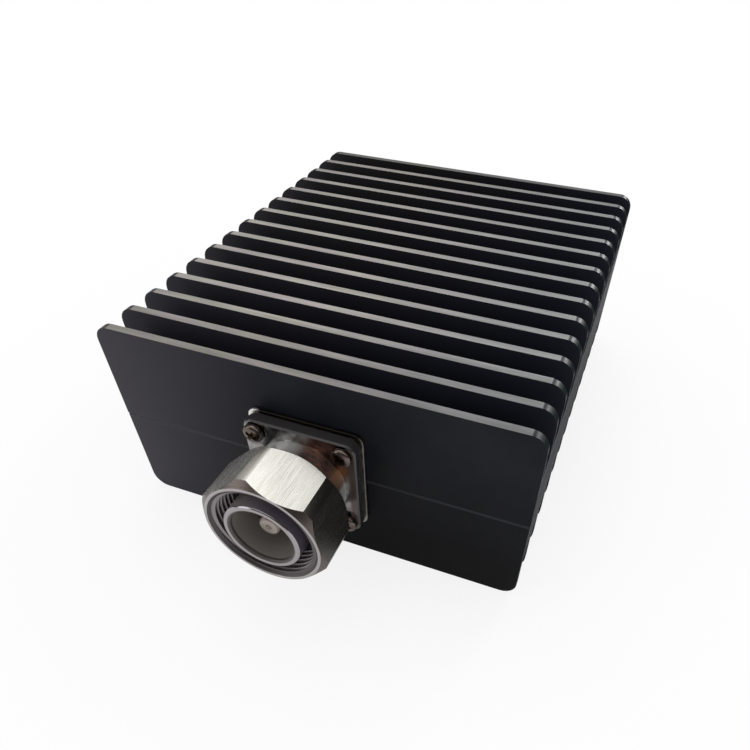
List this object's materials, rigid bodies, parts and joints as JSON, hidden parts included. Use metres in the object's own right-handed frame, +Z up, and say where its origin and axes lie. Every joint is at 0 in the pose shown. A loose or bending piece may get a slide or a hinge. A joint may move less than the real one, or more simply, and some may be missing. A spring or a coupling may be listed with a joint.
{
  "type": "rf dummy load",
  "caption": "Finned black aluminium coaxial load in two halves, with a square-flanged plug connector and a free-turning hexagonal coupling nut.",
  "frame": {"origin": "middle of the housing's footprint, on the tip of the middle fin of the lower half", "axes": "+Z up, away from the fins it stands on; -Y out of the connector, along the longest side; +X to the right seen from the connector"},
  "size_m": [0.122, 0.1695, 0.0594],
  "materials": {
    "black_anodised": "satin black anodised extrusion, milled fin tips",
    "bright_plated": "bright white-bronze plating",
    "tinned_brass": "tinned sheet",
    "brushed_plated": "plated, flats with fine lengthwise drawing lines",
    "spring_steel": "drawn wire",
    "silver_plated": "satin silver plating",
    "black_rubber": "matt moulded",
    "white_fluoropolymer": "turned",
    "zinc_steel": "bright plated",
    "black_steel": "black oxide",
    "plated_copper": "nickel-plated copper",
    "grey_ceramic": "fired ceramic with film",
    "white_ceramic": "fired ceramic"
  },
  "bodies": {
    "housing": {"upper_heatsink": "black_anodised", "lower_heatsink": "black_anodised", "flange_shim": "tinned_brass", "connector_body": "bright_plated", "retaining_ring": "spring_steel", "sealing_ring": "black_rubber", "center_pin": "silver_plated", "pin_insulator": "white_fluoropolymer", "flange_screw_1": "zinc_steel", "flange_screw_2": "zinc_steel", "flange_screw_3": "zinc_steel", "flange_screw_4": "zinc_steel", "housing_screw_1": "black_steel", "housing_screw_2": "black_steel", "housing_screw_3": "black_steel", "housing_screw_4": "black_steel", "resistor_flange": "plated_copper", "resistor_substrate": "grey_ceramic", "resistor_tab": "silver_plated", "resistor_cover": "white_ceramic", "resistor_screw_1": "zinc_steel", "resistor_screw_2": "zinc_steel"},
    "nut": {"coupling_nut": "brushed_plated"}
  },
  "joints": [
    {"name": "nut_spin", "type": "hinge", "parent": "housing", "child": "nut", "pos_m": [0, -0.09045, 0.0297], "axis": [0, 1, 0], "continuous": true}
  ]
}
